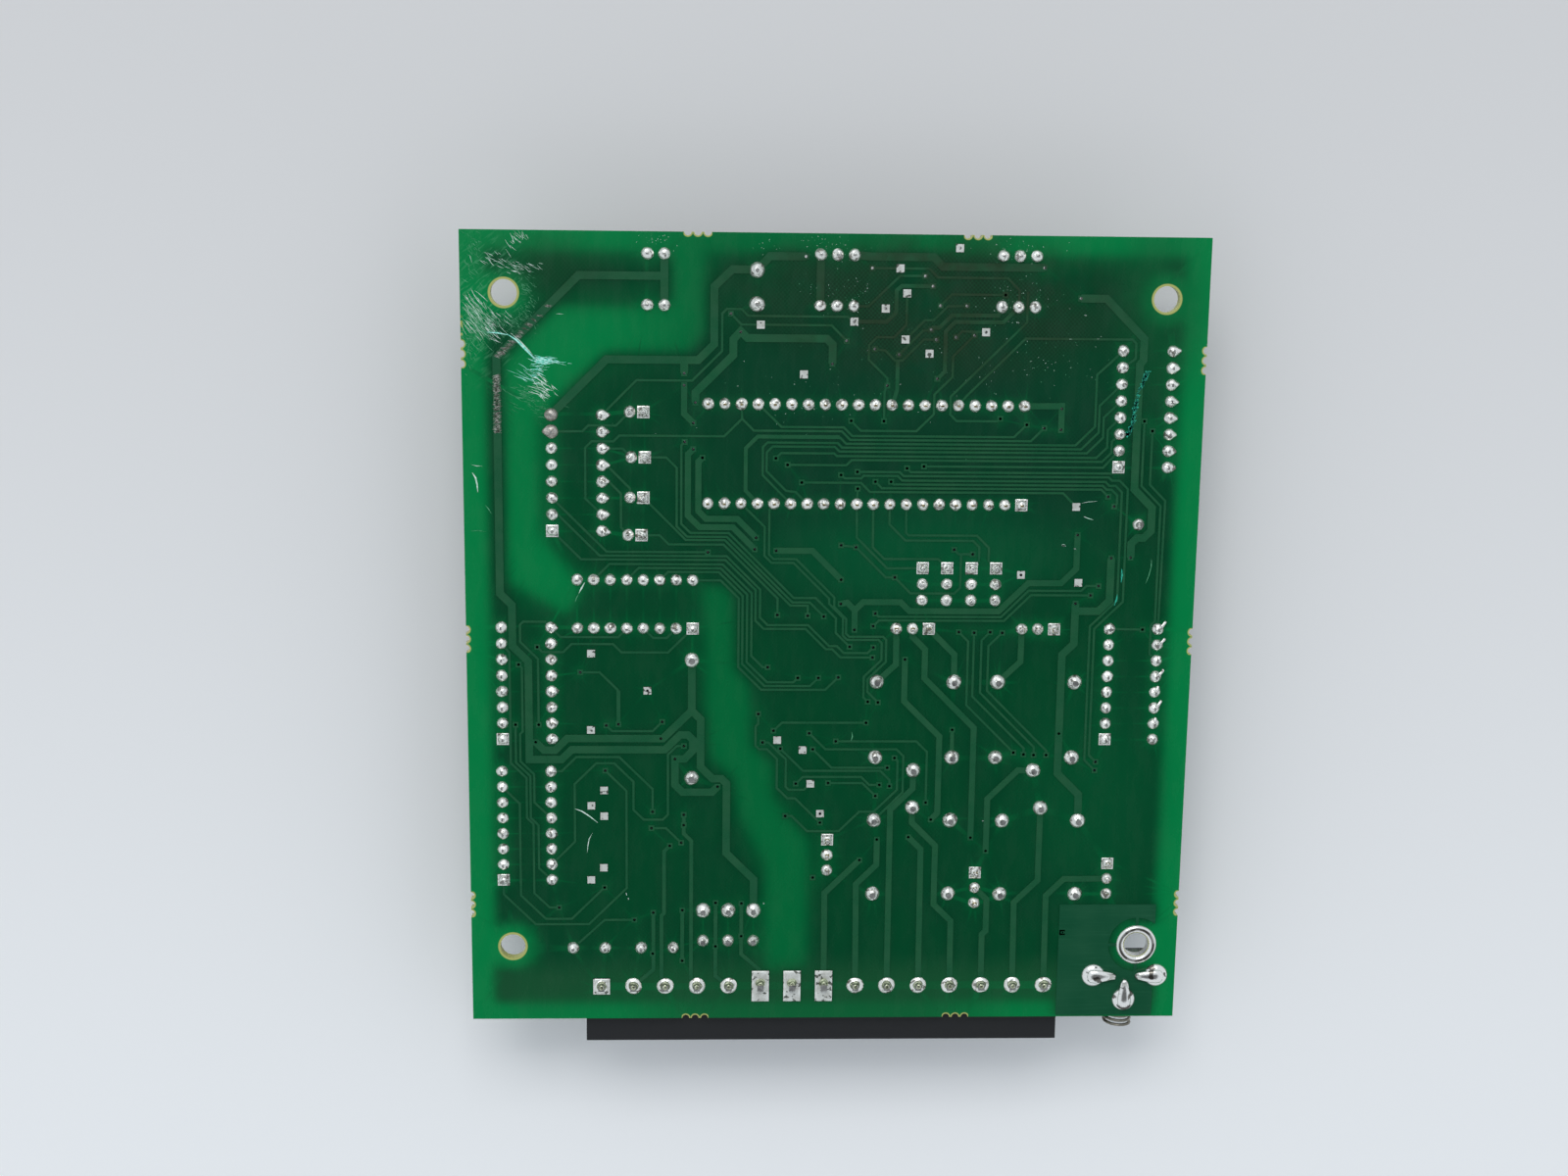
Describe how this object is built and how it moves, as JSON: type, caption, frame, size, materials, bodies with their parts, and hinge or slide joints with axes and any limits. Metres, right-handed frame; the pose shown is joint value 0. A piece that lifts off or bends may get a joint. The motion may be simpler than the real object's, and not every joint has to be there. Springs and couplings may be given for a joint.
{
  "type": "printed circuit board",
  "caption": "Green relay control board seen from its solder side, with masked tracks, soldered pins, an edge header and an earth contact.",
  "frame": {"origin": "centre of the four mounting holes, on the laminate's solder face", "axes": "+Z away from the components, +Y towards the edge opposite the plug-in header, +X to the right seen from the solder side"},
  "size_m": [0.113, 0.129, 0.0185],
  "materials": {
    "laminate": "gloss",
    "masked_copper": "gloss",
    "solder": "satin",
    "tinned_metal": "satin",
    "gold_metal": "polished",
    "black_plastic": "matte",
    "blue_plastic": "satin",
    "can_aluminium": "satin",
    "sleeve_film": "gloss",
    "bung_rubber": "matte",
    "coated_ceramic": "gloss",
    "film_box": "matte",
    "resistor_ceramic": "matte",
    "spring_wire": "satin",
    "chip_ceramic": "matte"
  },
  "bodies": {
    "root": {"board": "laminate", "component_plane": "masked_copper", "tracks": "masked_copper", "chassis_pour": "masked_copper", "test_pads": "solder", "earth_ring": "solder", "solder_chips": "solder", "solder_small": "solder", "solder_power": "solder", "solder_header": "solder", "solder_earth": "solder", "header_housing": "black_plastic", "header_pins": "tinned_metal", "relay_1": "blue_plastic", "relay_2": "blue_plastic", "relay_3": "blue_plastic", "relay_4": "blue_plastic", "relay_bases": "black_plastic", "relay_pins": "tinned_metal", "microcontroller": "black_plastic", "microcontroller_leads": "tinned_metal", "mcu_socket": "black_plastic", "mcu_socket_contacts": "gold_metal", "chip_top_left": "black_plastic", "chip_top_left_leads": "tinned_metal", "chip_top_right": "black_plastic", "chip_top_right_leads": "tinned_metal", "chip_middle_left": "black_plastic", "chip_middle_left_leads": "tinned_metal", "chip_bottom_left": "black_plastic", "chip_bottom_left_leads": "tinned_metal", "chip_right": "black_plastic", "chip_right_leads": "tinned_metal", "chip_row": "black_plastic", "chip_row_leads": "tinned_metal", "optocoupler_1": "black_plastic", "optocoupler_2": "black_plastic", "optocoupler_3": "black_plastic", "optocoupler_leads": "tinned_metal", "capacitor_cans": "can_aluminium", "capacitor_sleeves": "sleeve_film", "capacitor_bungs": "bung_rubber", "capacitor_leads": "tinned_metal", "transistors": "black_plastic", "transistor_leads": "tinned_metal", "jumper_strips": "black_plastic", "jumper_pins": "gold_metal", "jumper_links": "black_plastic", "varistors": "coated_ceramic", "film_capacitors": "film_box", "suppressor_leads": "tinned_metal", "power_resistor": "resistor_ceramic", "power_resistor_leads": "tinned_metal", "test_post": "tinned_metal", "earth_bracket": "tinned_metal", "earth_spring": "spring_wire", "chip_resistors": "black_plastic", "chip_capacitors": "chip_ceramic", "chip_diodes": "black_plastic"}
  },
  "joints": []
}
